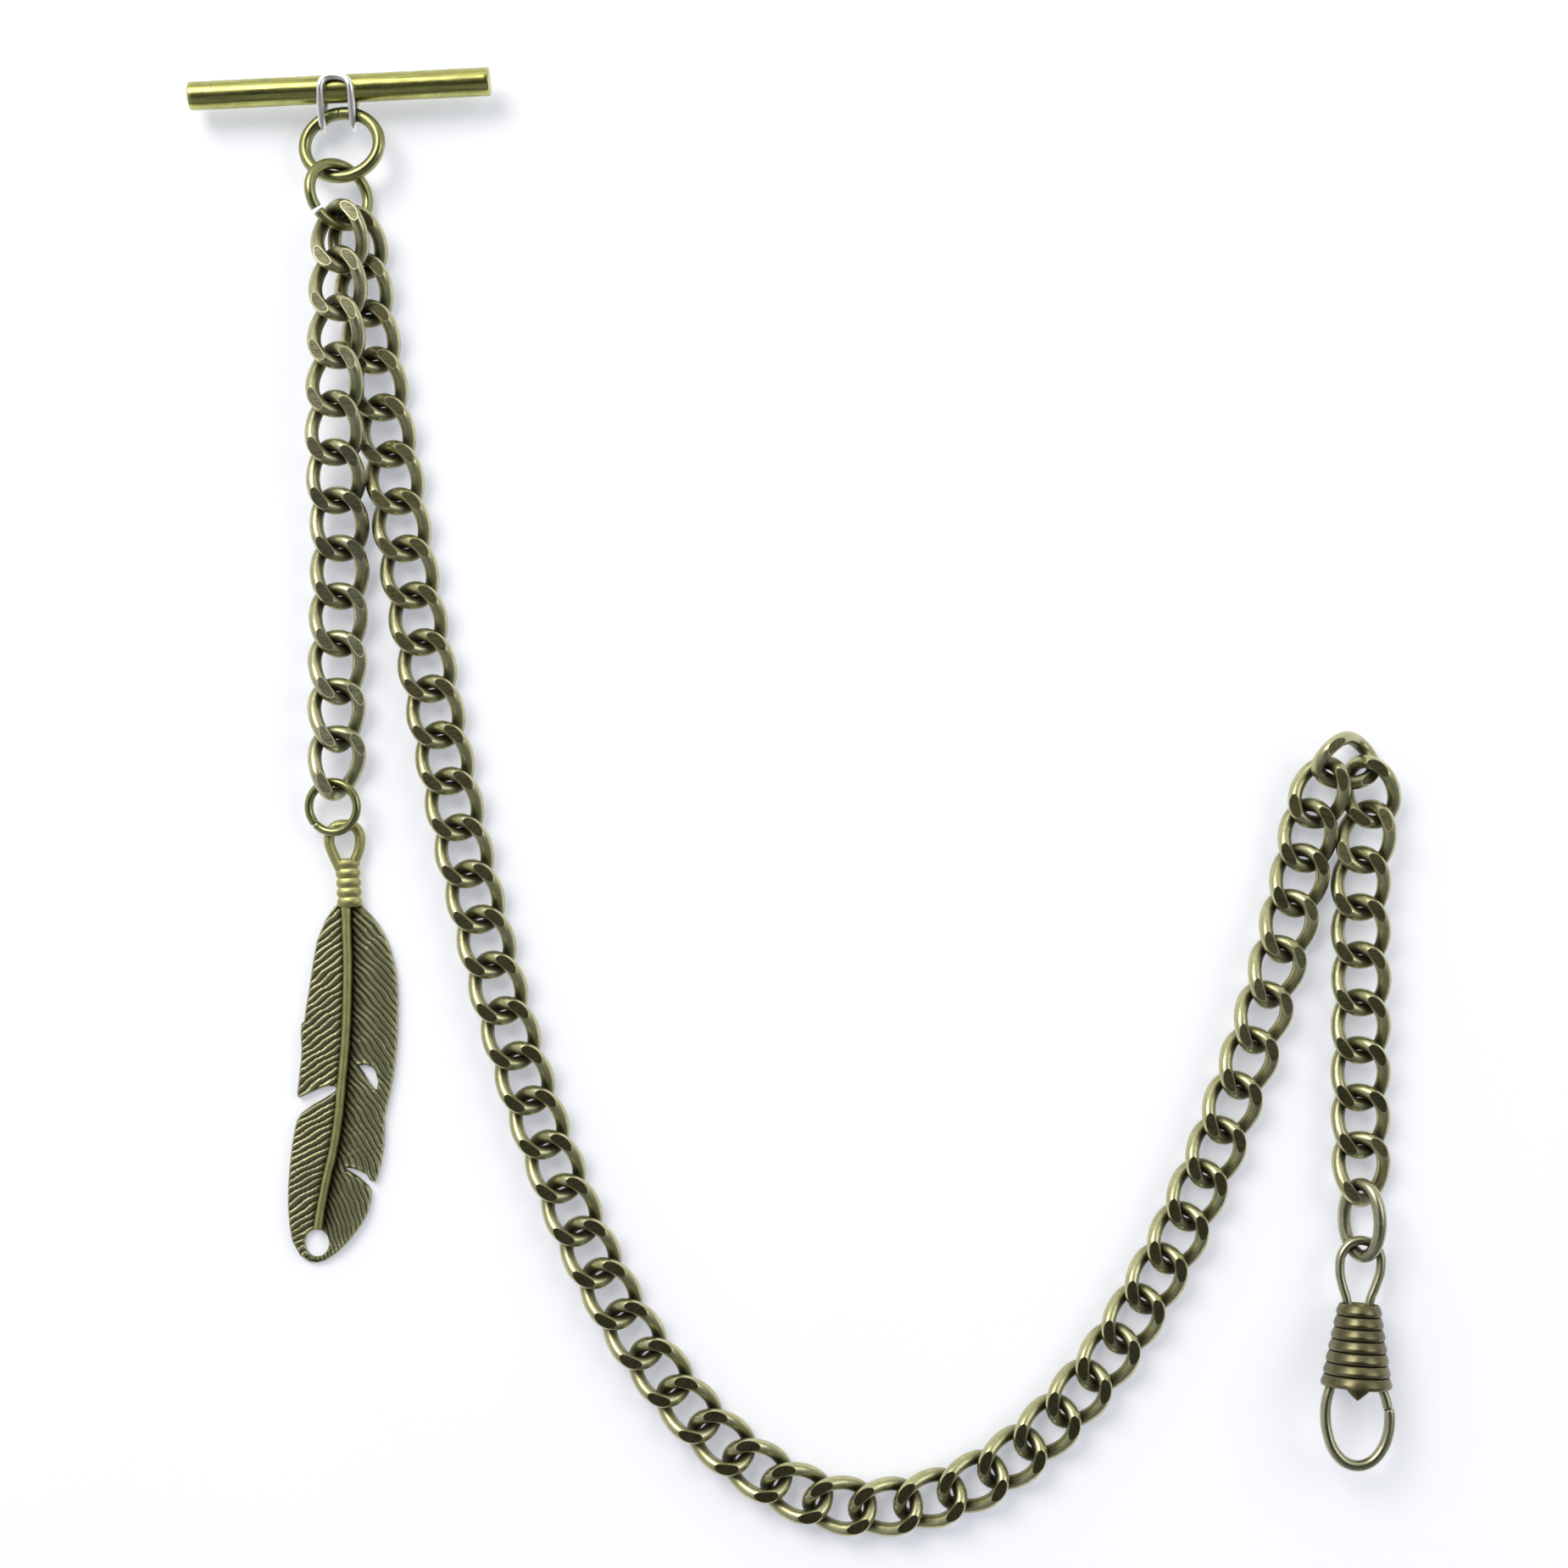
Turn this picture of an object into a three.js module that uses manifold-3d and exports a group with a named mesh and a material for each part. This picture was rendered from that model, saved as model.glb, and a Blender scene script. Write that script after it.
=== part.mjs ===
// Pocket watch chain: T-bar, two jump rings, a short fob chain with a feather pendant, and a long curb chain
// that ends in an oval link and a sleeve clasp. It is laid out flat, as on a table.
// Millimetres, +Z up. The chain lies in the XY plane with its T-bar at +Y.
import * as THREE from 'three';
import { mergeVertices } from 'three/addons/utils/BufferGeometryUtils.js';
import Module from 'manifold-3d';

// ---------------------------------------------------------------- driving dimensions (mm)
const LINK_LENGTH = 7.35;        // centreline, along the chain
const LINK_WIDTH = 5.35;         // centreline, across the chain
const LINK_TWIST = 1.0;          // how far each quarter of a curb link rises or dips
const LINK_WIRE_R = 0.75;
const LINK_FACET_Z = 1.55;       // filed flats, above and below the link's own middle
const LINK_STEPS = 12;
const LINK_SIDES = 6;
const SOLDER_R = 0.42;           // the joint between the links of a two-link piece

const BAR_R = 1.65;
const BAR_LENGTH = 35.4;
const BAIL_WIRE_R = 0.42;
const RING1 = { rx: 4.6, ry: 3.8, wire: 0.7 };
const RING2 = { rx: 3.9, ry: 3.6, wire: 0.63 };
const FEATHER_RING = { rx: 2.95, ry: 2.95, wire: 0.5 };
const OVAL = { rx: 2.6, ry: 4.24, wire: 0.74 };

const FEATHER_THICKNESS = 1.1;
const QUILL_R = 0.62;
const NECK_R = 1.5;
const EYE = { rx: 1.83, ry: 2.05, wire: 0.55 };

const CLASP_TILT = 5.0;          // degrees, eye end down
const SLEEVE_HEIGHT = 9.6;
const SLEEVE_R_TOP = 2.62;
const SLEEVE_R_BASE = 4.1;
const SLEEVE_WALL = 0.38;
const SLEEVE_BANDS = 7;
const EYE_WIRE_R = 0.53;
const HOOK_WIRE_R = 0.68;

// ---------------------------------------------------------------- finishes
const BRONZE = { color: 0x7d6f3a, roughness: 0.42, metalness: 0.9 };
const GOLD_BRONZE = { color: 0xa39a4e, roughness: 0.38, metalness: 0.9 };
const SILVER = { color: 0xb9b9bd, roughness: 0.3, metalness: 0.95 };
const finish = (f) => new THREE.MeshStandardMaterial(f);

// ---------------------------------------------------------------- where each ring and link lies
// [x, y, z, turn about x, turn about y, turn about z]: mm, and degrees applied x first, then y, then z
const POSE = {
  ring1: [-52.138, 75.33, 2.676, -3.53, -10.87, 2.71],
  ring2: [-52.406, 69.39, 3.101, -24.08, 31.64, -31.57],
  feather_ring: [-53.254, -2.712, 2.386, 2.53, -10.03, -1.11],
  oval: [68.144, -51.423, 2.768, -1.632, -49.734, 1.827],
};
const FOB = [
  [-52.11, 64.17, 4.446, -6.2, -8.18, 5.83],
  [-52.214, 58.592, 4.9, -2.8, -6.63, 1.2],
  [-52.361, 53.015, 4.899, -0.65, -10.75, -2.5],
  [-52.534, 47.385, 4.819, 1.96, -9.97, -4.08],
  [-52.693, 41.761, 4.421, 6.43, -4.34, -3.59],
  [-52.693, 36.186, 3.551, 10.22, 1.26, 0.23],
  [-52.448, 30.641, 2.534, 9.15, 6.31, 4.23],
  [-52.476, 25.015, 2.163, 1.18, 11.56, 0.34],
  [-52.613, 19.373, 2.25, -1.8, 17.93, -0.59],
  [-52.701, 13.733, 2.44, -1.73, 24.4, -0.07],
  [-52.756, 8.095, 2.61, -1.04, 29.93, -0.24],
  [-52.804, 2.46, 2.652, -0.31, 30.69, -6.21],
];
const MAIN = [
  [-50.466, 63.936, 2.068, 9.78, -4.26, 13.84],
  [-49.74, 58.374, 1.754, 0.09, -0.56, 5.54],
  [-48.922, 52.833, 1.739, 1.21, -1.66, 10.33],
  [-48.015, 47.281, 1.74, 0.76, -1.04, 10.74],
  [-47.096, 41.732, 1.738, 1.93, -2.65, 10.21],
  [-46.071, 36.192, 1.74, -0.63, 0.87, 9.08],
  [-45.265, 30.614, 1.74, -0.06, 0.08, 9.44],
  [-44.318, 25.062, 1.74, -0, 0, 9.48],
  [-43.321, 19.52, 1.74, -0, 0, 10.17],
  [-42.25, 13.991, 1.74, -0, 0, 10.6],
  [-41.25, 8.52, 1.74, 0, 0, 10.81],
  [-40.16, 3.06, 1.74, 0, 0, 11.56],
  [-39.029, -2.385, 1.74, 0, -0, 11.78],
  [-37.871, -7.895, 1.74, -0, 0, 12.57],
  [-36.57, -13.3, 1.74, 0, 0, 13.48],
  [-35.26, -18.64, 1.74, 0, 0, 13.85],
  [-33.86, -24.09, 1.74, 0, 0, 14.53],
  [-32.36, -29.44, 1.74, 0, 0, 15.46],
  [-30.73, -34.74, 1.74, 0, 0, 16.65],
  [-29, -39.97, 1.74, 0, 0, 18.35],
  [-27.1, -45.17, 1.74, 0, 0, 19.83],
  [-25.15, -50.29, 1.74, 0, 0, 21.41],
  [-22.94, -55.3, 1.74, 0, 0, 23.75],
  [-20.51, -60.16, 1.74, 0, 0, 26.45],
  [-17.75, -64.93, 1.74, 0, 0, 30.52],
  [-14.65, -69.39, 1.74, 0, 0, 34.99],
  [-11.27, -73.71, 1.74, 0, 0, 40.77],
  [-7.42, -77.61, 1.74, 0, 0, 48.47],
  [-3.15, -80.96, 1.74, 0, 0, 56.52],
  [1.51, -83.65, 1.74, 0, 0, 66.9],
  [6.58, -85.24, 1.74, 0, 0, 80.62],
  [12, -85.5, 1.74, 0, 0, 94.16],
  [17.26, -84.61, 1.74, 0, 0, 105.95],
  [22.29, -82.72, 1.74, 0, 0, 117.04],
  [26.91, -79.87, 1.74, 0, 0, 127.34],
  [31.04, -76.3, 1.74, 0, 0, 135.19],
  [34.77, -72.27, 1.74, 0, 0, 140.33],
  [38.22, -67.92, 1.74, 0, 0, 144.79],
  [41.2, -63.37, 1.74, 0, 0, 149.35],
  [43.91, -58.58, 1.74, 0, 0, 152.16],
  [46.48, -53.76, 1.74, 0, 0, 155.17],
  [48.72, -48.68, 1.74, 0, 0, 157.24],
  [50.912, -43.606, 1.838, -0.03, -2.97, 158.55],
  [52.814, -38.312, 1.907, -0.27, -4.8, 160.67],
  [54.71, -33.009, 2.024, -0.53, -8.24, 160.91],
  [56.408, -27.637, 2.107, 0.03, -11.62, 162.23],
  [57.996, -22.232, 2.128, 1.12, -13.22, 163.08],
  [59.502, -16.814, 1.898, 3.03, -6.29, 165.35],
  [60.867, -11.395, 1.764, -0.61, 1.56, 167.59],
  [61.903, -6.087, 1.953, -3.34, 10.11, 170.86],
  [63.25, -1.025, 2.458, -8.27, 14.76, 155.27],
  [66.275, 2.768, 2.7, 23.38, -3.67, 88.77],
  [69.18, -0.894, 2.273, 0.07, -16.81, 17.16],
  [68.79, -6.224, 2.31, 1.54, -19.66, -13.97],
  [68.137, -11.742, 2.136, 1.29, -13.89, -3.29],
  [68.126, -17.356, 2.141, 0.26, -12.9, -0.55],
  [68.172, -22.99, 2.184, 0.16, -13.96, 0.18],
  [68.153, -28.621, 2.073, 1.24, -11.91, -0.23],
  [68.149, -34.253, 1.953, 2.27, -8.3, -0.67],
  [68.211, -39.88, 1.765, 1.28, -0.98, 1.08],
  [68.268, -45.51, 1.836, -2.77, 6.59, 1.65],
];
// main-chain links that come as two-link pieces: first link of each pair
const PAIRED_FROM = 3, PAIRED_TO = 49;

const BAR_AT = [-52.3, 81.825, 3.2];
const BAR_TURN = 2.83;           // degrees about z
// the bail's wire, from the back of the bar, down, through ring 1, up the front, over and back: [x, y, z] from the bar's middle
const BAIL = [
  [-2.05, 0.15, -2.12], [-2.05, -1.4, -2.42], [-2.05, -3.12, -2.55], [-2.05, -4.22, -2.15], [-2.05, -4.64, -1.2],
  [-2.05, -4.22, -0.1], [-2.05, -3.32, 0.7], [-2.05, -2.22, 1.35], [-2, -0.9, 1.93], [-1.9, 0, 2.12],
  [-1.45, 0.72, 2], [-0.25, 1.02, 1.87], [0.95, 0.72, 2], [1.45, 0, 2.12],
  [1.6, -0.9, 1.93], [1.6, -2.22, 1.35], [1.6, -3.22, 0.8], [1.6, -4.07, 0.15], [1.6, -4.42, -0.8],
  [1.6, -3.97, -1.75], [1.6, -2.82, -2.3], [1.6, -1.3, -2.35], [1.6, 0.15, -2.12],
];

// the feather's outline, [x, y], clockwise from the neck
const FEATHER_OUTLINE = [
  [-50.15, -14.1], [-50.03, -14.58], [-49.07, -15.54], [-48.21, -16.6], [-47.49, -17.83], [-46.87, -19.17], [-46.39, -20.85],
  [-46.11, -22.1], [-45.92, -23.6], [-45.83, -25.6], [-45.83, -27.64], [-45.88, -29.68], [-45.98, -31.2], [-46.18, -33.26],
  [-46.44, -34.99], [-46.8, -36.87], [-47.18, -38.55], [-47.41, -39.62], [-47.41, -41.46], [-47.5, -43.14], [-47.8, -44.82],
  [-48.1, -46.2], [-48.48, -47.27], [-48.85, -47.2], [-49.25, -46.97], [-49.55, -46.35], [-50.32, -45.97], [-51.16, -45.67],
  [-51.95, -45.59], [-52, -45.82], [-51.24, -46.19], [-50.32, -46.78], [-49.4, -47.66], [-48.97, -48.34], [-49.05, -49.57],
  [-49.4, -50.94], [-50.1, -52.25], [-50.93, -53.4], [-51.85, -54.54], [-53.07, -55.69], [-54.45, -56.6], [-55.45, -56.9],
  [-56.44, -56.76], [-57.51, -56], [-58.43, -54.3], [-58.73, -52.47], [-58.92, -50.3], [-58.9, -47.7], [-58.73, -45.6],
  [-58.46, -43], [-58.12, -41], [-57.9, -40.08], [-57.36, -39.09], [-55.98, -38.1], [-54.45, -37.25], [-53.4, -36.55],
  [-53.2, -36.25], [-53.3, -35.96], [-54.14, -35.9], [-55.3, -36.25], [-56.3, -36.75], [-57.4, -37.26], [-57.74, -37.15],
  [-57.82, -36.6], [-57.7, -35.8], [-57.56, -34.28], [-57.36, -32.74], [-57.31, -31.3], [-57.41, -29.68], [-57.31, -28.45],
  [-56.98, -28.15], [-56.8, -26.6], [-56.59, -25.4], [-56.34, -23.87], [-56.08, -22.03], [-55.88, -20.8], [-55.72, -19.94],
  [-55.48, -18.6], [-55, -17.45], [-54.43, -16.1], [-53.76, -15.06], [-53.05, -14.2],
];
const FEATHER_WINDOW = [
  [-49.91, -34.28], [-49.2, -35.5], [-48.68, -36.2], [-48.33, -36.32], [-48.22, -35.3], [-48.48, -34.28], [-48.89, -33.66], [-49.7, -33.38], [-50.52, -33.51],
];
const FEATHER_HOLE = { x: -55.48, y: -54.54, rx: 1.42, ry: 1.6 };
const QUILL_LINE = [
  [-51.94, -14.2], [-51.84, -18], [-51.74, -20.8], [-51.8, -25.6], [-51.9, -28.66], [-52.1, -31.7],
  [-52.39, -34.79], [-52.84, -39.6], [-53.61, -44.2], [-54, -45.74], [-54.91, -50.33], [-55.26, -52.7],
];

// the clasp, from the sleeve's base, +y towards the eye: [x, y, wire radius]
const CLASP_BASE = [67.1, -71.0, 4.13];
const SLEEVE_LEAN = 3.3;         // degrees
const CLASP_WIRE = [
  [1.75, 5.4, 0.53], [1.75, 9.0, 0.53], [1.9, 10.3, 0.53], [2.55, 11.9, 0.53], [3.15, 13.6, 0.53], [3.2, 15.5, 0.53], [2.35, 16.8, 0.53],
  [0.9, 17.25, 0.53], [-0.45, 16.8, 0.53], [-1.4, 15.5, 0.53], [-1.6, 13.6, 0.53], [-1.3, 11.9, 0.53], [-0.85, 10.3, 0.53], [-0.75, 9.0, 0.53],
  [-1.15, 6.5, 0.53], [-2.1, 3.2, 0.57], [-2.85, 0.6, 0.6], [-3.42, -1.2, 0.64], [-3.62, -2.9, 0.68], [-3.45, -4.9, 0.68], [-2.75, -7.0, 0.68],
  [-1.4, -8.45, 0.68], [0.15, -8.85, 0.68], [1.75, -8.3, 0.68], [3.05, -6.8, 0.68], [3.75, -4.9, 0.68], [3.92, -3.2, 0.66], [3.86, -2.45, 0.64],
];
const CLASP_GATE = [[1.55, 3.3, 0.5], [2.2, 1.6, 0.52], [2.95, 0.2, 0.55], [3.45, -1.0, 0.6], [3.72, -2.1, 0.62]];

// ---------------------------------------------------------------- shape helpers
const wasm = await Module();
wasm.setup();

const rad = (d) => (d * Math.PI) / 180;

function welded(geometry) {
  const g = geometry.index ? geometry.toNonIndexed() : geometry.clone();
  for (const name of Object.keys(g.attributes)) if (name !== 'position') g.deleteAttribute(name);
  return mergeVertices(g, 1e-4);
}

function solid(geometry) {
  const g = welded(geometry);
  const index = [];
  const a = g.index.array;
  for (let i = 0; i < a.length; i += 3) {
    if (a[i] !== a[i + 1] && a[i + 1] !== a[i + 2] && a[i] !== a[i + 2]) index.push(a[i], a[i + 1], a[i + 2]);
  }
  return new wasm.Manifold(new wasm.Mesh({
    numProp: 3,
    vertProperties: new Float32Array(g.attributes.position.array),
    triVerts: new Uint32Array(index),
  }));
}

function geometryOf(manifold) {
  const m = manifold.getMesh();
  const g = new THREE.BufferGeometry();
  g.setAttribute('position', new THREE.BufferAttribute(new Float32Array(m.vertProperties), 3));
  g.setIndex(new THREE.BufferAttribute(new Uint32Array(m.triVerts), 1));
  g.computeVertexNormals();
  return g;
}

const outward = (g) => geometryOf(solid(g));

// A closed ring of round wire along centre(t), 0..2pi, made from a torus whose vertices move onto it.
function wireRing(centre, wireR, steps, sides, limit = Infinity) {
  const g = welded(new THREE.TorusGeometry(10, 1, sides, steps));
  const p = g.attributes.position;
  const T = new THREE.Vector3(), N = new THREE.Vector3(), B = new THREE.Vector3();
  for (let i = 0; i < p.count; i++) {
    const x = p.getX(i), y = p.getY(i), z = p.getZ(i);
    const u = Math.atan2(y, x), a = Math.hypot(x, y) - 10;
    const c = centre(u);
    T.subVectors(centre(u + 1e-3), centre(u - 1e-3)).normalize();
    N.set(T.y, -T.x, 0).normalize();
    B.crossVectors(N, T).normalize();
    const q = c.addScaledVector(N, a * wireR).addScaledVector(B, z * wireR * (B.z < 0 ? -1 : 1));
    p.setXYZ(i, q.x, q.y, Math.max(-limit, Math.min(limit, q.z)));
  }
  return outward(g);
}

const oval = (rx, ry) => (u) => new THREE.Vector3(rx * Math.cos(u), ry * Math.sin(u), 0);
const curb = (u) => new THREE.Vector3(
  (LINK_WIDTH / 2) * Math.cos(u), (LINK_LENGTH / 2) * Math.sin(u), LINK_TWIST * Math.sin(2 * u));

// Round wire with capped ends along an open path whose radius may change: a cylinder bent onto the path.
function wire(points, radii, steps, sides) {
  const path = new THREE.CatmullRomCurve3(points.map((q) => new THREE.Vector3(...q)), false, 'centripetal');
  const frames = path.computeFrenetFrames(steps, false);
  const at = frames.tangents.map((_, i) => path.getPointAt(i / steps));
  const lengths = [0];
  for (let i = 1; i < points.length; i++) {
    lengths.push(lengths[i - 1] + new THREE.Vector3(...points[i]).distanceTo(new THREE.Vector3(...points[i - 1])));
  }
  const radiusAt = (s) => {
    if (typeof radii === 'number') return radii;
    const l = s * lengths[lengths.length - 1];
    let k = 1;
    while (k < lengths.length - 1 && lengths[k] < l) k++;
    const f = (l - lengths[k - 1]) / (lengths[k] - lengths[k - 1]);
    return radii[k - 1] + (radii[k] - radii[k - 1]) * Math.min(1, Math.max(0, f));
  };
  const g = welded(new THREE.CylinderGeometry(1, 1, steps, sides, steps));
  const p = g.attributes.position;
  for (let i = 0; i < p.count; i++) {
    const k = Math.round(p.getY(i) + steps / 2);
    const r = radiusAt(k / steps);
    const q = at[k].clone().addScaledVector(frames.normals[k], p.getX(i) * r).addScaledVector(frames.binormals[k], p.getZ(i) * r);
    p.setXYZ(i, q.x, q.y, q.z);
  }
  let m = solid(g);
  if (m.volume() < 0) {
    const a = g.index.array;
    for (let i = 0; i < a.length; i += 3) [a[i], a[i + 1]] = [a[i + 1], a[i]];
    m = solid(g);
  }
  return geometryOf(m);
}

function matrixOf([x, y, z, rx, ry, rz]) {
  const e = new THREE.Euler(rad(rx), rad(ry), rad(rz), 'ZYX');
  return new THREE.Matrix4().compose(new THREE.Vector3(x, y, z), new THREE.Quaternion().setFromEuler(e), new THREE.Vector3(1, 1, 1));
}

const chain = new THREE.Group();

function place(name, geometry, f, pose) {
  const mesh = new THREE.Mesh(geometry, finish(f));
  mesh.name = name;
  mesh.position.set(pose[0], pose[1], pose[2]);
  mesh.rotation.set(rad(pose[3]), rad(pose[4]), rad(pose[5]), 'ZYX');
  chain.add(mesh);
  return mesh;
}

// ---------------------------------------------------------------- T-bar and its bail
const barPose = [...BAR_AT, 0, 0, BAR_TURN];
place('t_bar', outward(new THREE.CylinderGeometry(BAR_R, BAR_R, BAR_LENGTH, 20).rotateZ(Math.PI / 2)), GOLD_BRONZE, barPose);
place('t_bar_bail', wire(BAIL, BAIL_WIRE_R, 44, 7), SILVER, [...BAR_AT, 0, 0, 0]);

// ---------------------------------------------------------------- jump rings
place('bar_ring', wireRing(oval(RING1.rx, RING1.ry), RING1.wire, 20, 7), GOLD_BRONZE, POSE.ring1);
place('chain_ring', wireRing(oval(RING2.rx, RING2.ry), RING2.wire, 20, 7), GOLD_BRONZE, POSE.ring2);

// ---------------------------------------------------------------- curb links
const linkGeometry = wireRing(curb, LINK_WIRE_R, LINK_STEPS, LINK_SIDES, LINK_FACET_Z);
const pad = (n) => String(n).padStart(2, '0');

FOB.forEach((pose, i) => place('fob_link_' + pad(i + 1), linkGeometry.clone(), BRONZE, pose));

// the nearest points of two links' centrelines, both in the first link's frame
function nearest(toFirst) {
  let best = null;
  const a = [], b = [];
  for (let i = 0; i < 240; i++) {
    const u = (i * 2 * Math.PI) / 240;
    a.push(curb(u));
    b.push(curb(u).applyMatrix4(toFirst));
  }
  for (const p of a) for (const q of b) {
    const d = p.distanceTo(q);
    if (!best || d < best.d) best = { d, p, q };
  }
  return best;
}

for (let i = 1; i <= MAIN.length; i++) {
  const pose = MAIN[i - 1];
  if (i < PAIRED_FROM || i > PAIRED_TO + 1) {
    place('main_link_' + pad(i), linkGeometry.clone(), BRONZE, pose);
    continue;
  }
  // two links, one through the other, closed up by a spot of solder where they bear on each other
  const toFirst = matrixOf(pose).invert().multiply(matrixOf(MAIN[i]));
  const { p, q } = nearest(toFirst);
  const along = new THREE.Vector3().subVectors(q, p);
  const spot = new THREE.CylinderGeometry(SOLDER_R, SOLDER_R, along.length(), 6, 1);
  spot.applyQuaternion(new THREE.Quaternion().setFromUnitVectors(new THREE.Vector3(0, 1, 0), along.clone().normalize()));
  spot.translate((p.x + q.x) / 2, (p.y + q.y) / 2, (p.z + q.z) / 2);
  const second = linkGeometry.clone().applyMatrix4(toFirst);
  const pair = solid(linkGeometry).add(solid(second)).add(solid(spot));
  place('main_links_' + pad(i) + '_' + pad(i + 1), geometryOf(pair), BRONZE, pose);
  i++;
}

// ---------------------------------------------------------------- feather pendant
place('feather_ring', wireRing(oval(FEATHER_RING.rx, FEATHER_RING.ry), FEATHER_RING.wire, 18, 6), GOLD_BRONZE, POSE.feather_ring);
{
  const outline = new THREE.Shape(FEATHER_OUTLINE.map(([x, y]) => new THREE.Vector2(x, y)));
  outline.holes.push(new THREE.Path(FEATHER_WINDOW.map(([x, y]) => new THREE.Vector2(x, y))));
  const hole = [];
  for (let i = 0; i < 14; i++) {
    const t = (i * 2 * Math.PI) / 14;
    hole.push(new THREE.Vector2(FEATHER_HOLE.x + FEATHER_HOLE.rx * Math.cos(t), FEATHER_HOLE.y + FEATHER_HOLE.ry * Math.sin(t)));
  }
  outline.holes.push(new THREE.Path(hole));
  const vane = new THREE.ExtrudeGeometry(outline, { depth: FEATHER_THICKNESS, bevelEnabled: false, steps: 1 });
  const quill = wire(QUILL_LINE.map(([x, y]) => [x, y, FEATHER_THICKNESS]), QUILL_R, 14, 8);
  // five wraps of wire round the neck
  const profile = [new THREE.Vector2(0, 0)];
  for (let k = 0; k < 5; k++) {
    profile.push(new THREE.Vector2(NECK_R * 0.84, k * 1.08), new THREE.Vector2(NECK_R, k * 1.08 + 0.54));
  }
  profile.push(new THREE.Vector2(NECK_R * 0.84, 5.4), new THREE.Vector2(0, 5.4));
  const neck = new THREE.LatheGeometry(profile, 12);
  neck.scale(1, 1, 0.62);
  neck.rotateZ(rad(3.2));
  neck.translate(-51.12, -14.4, 0.94);
  const eye = wireRing(oval(EYE.rx, EYE.ry), EYE.wire, 16, 7);
  eye.translate(-52.1, -6.9, 0.95);
  const feather = solid(vane).add(solid(quill)).add(solid(outward(neck))).add(solid(eye));
  place('feather', geometryOf(feather), BRONZE, [0, 0, 0, 0, 0, 0]);
}

// ---------------------------------------------------------------- oval link and clasp
place('oval_link', wireRing(oval(OVAL.rx, OVAL.ry), OVAL.wire, 18, 7), GOLD_BRONZE, POSE.oval);
{
  const claspPose = [...CLASP_BASE, -CLASP_TILT, 0, 0];
  let hook = solid(wire(CLASP_WIRE.map(([x, y]) => [x, y, 0]), CLASP_WIRE.map((q) => q[2]), 56, 8));
  // a small flat seat filed inside the bend of the hook, where a watch's bow hangs
  const seat = new THREE.BoxGeometry(1.5, 0.6, 1.6);
  seat.translate(0.15, -8.85 + HOOK_WIRE_R - 0.16 + 0.3, 0);
  hook = hook.subtract(solid(seat));
  place('clasp_wire', geometryOf(hook), GOLD_BRONZE, claspPose);
  place('clasp_gate', wire(CLASP_GATE.map(([x, y]) => [x, y, 0]), CLASP_GATE.map((q) => q[2]), 8, 8), GOLD_BRONZE, claspPose);

  const profile = [];
  for (let k = 0; k < SLEEVE_BANDS; k++) {
    const y0 = (SLEEVE_HEIGHT * k) / SLEEVE_BANDS, y1 = (SLEEVE_HEIGHT * (k + 1)) / SLEEVE_BANDS;
    const r = SLEEVE_R_BASE + ((SLEEVE_R_TOP - SLEEVE_R_BASE) * k) / (SLEEVE_BANDS - 1);
    profile.push(new THREE.Vector2(r, y0), new THREE.Vector2(r - 0.06, y1));
  }
  profile.push(new THREE.Vector2(SLEEVE_R_TOP - SLEEVE_WALL, SLEEVE_HEIGHT));
  profile.push(new THREE.Vector2(SLEEVE_R_BASE - SLEEVE_WALL, 0));
  profile.push(profile[0].clone());
  place('clasp_sleeve', outward(new THREE.LatheGeometry(profile, 18)), BRONZE, [CLASP_BASE[0] + 0.05, CLASP_BASE[1] + 0.25, CLASP_BASE[2], -CLASP_TILT, 0, -SLEEVE_LEAN]);
}

// ---------------------------------------------------------------- origin: middle of the base
chain.updateMatrixWorld(true);
const box = new THREE.Box3().setFromObject(chain, true);
chain.position.set(-(box.min.x + box.max.x) / 2, -(box.min.y + box.max.y) / 2, -box.min.z);

export default chain;
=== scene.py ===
import bpy, bmesh, math
import numpy as np
from mathutils import Matrix, Vector, Euler, geometry


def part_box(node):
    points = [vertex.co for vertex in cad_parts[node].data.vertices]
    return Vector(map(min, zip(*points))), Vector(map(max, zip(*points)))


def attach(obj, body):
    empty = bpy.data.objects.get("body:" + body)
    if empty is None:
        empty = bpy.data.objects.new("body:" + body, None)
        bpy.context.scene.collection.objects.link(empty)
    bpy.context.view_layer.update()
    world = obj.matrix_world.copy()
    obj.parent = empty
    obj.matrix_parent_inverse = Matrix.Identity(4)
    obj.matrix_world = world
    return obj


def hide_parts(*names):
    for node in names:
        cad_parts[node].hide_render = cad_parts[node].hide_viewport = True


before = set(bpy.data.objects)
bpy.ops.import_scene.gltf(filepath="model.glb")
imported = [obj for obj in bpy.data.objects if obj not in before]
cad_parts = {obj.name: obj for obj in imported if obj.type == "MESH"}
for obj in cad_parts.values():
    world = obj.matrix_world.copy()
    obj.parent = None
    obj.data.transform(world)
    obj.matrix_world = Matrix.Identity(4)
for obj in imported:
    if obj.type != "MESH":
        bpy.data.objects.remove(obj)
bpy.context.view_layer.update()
MM = 0.001
scene = bpy.context.scene

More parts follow.
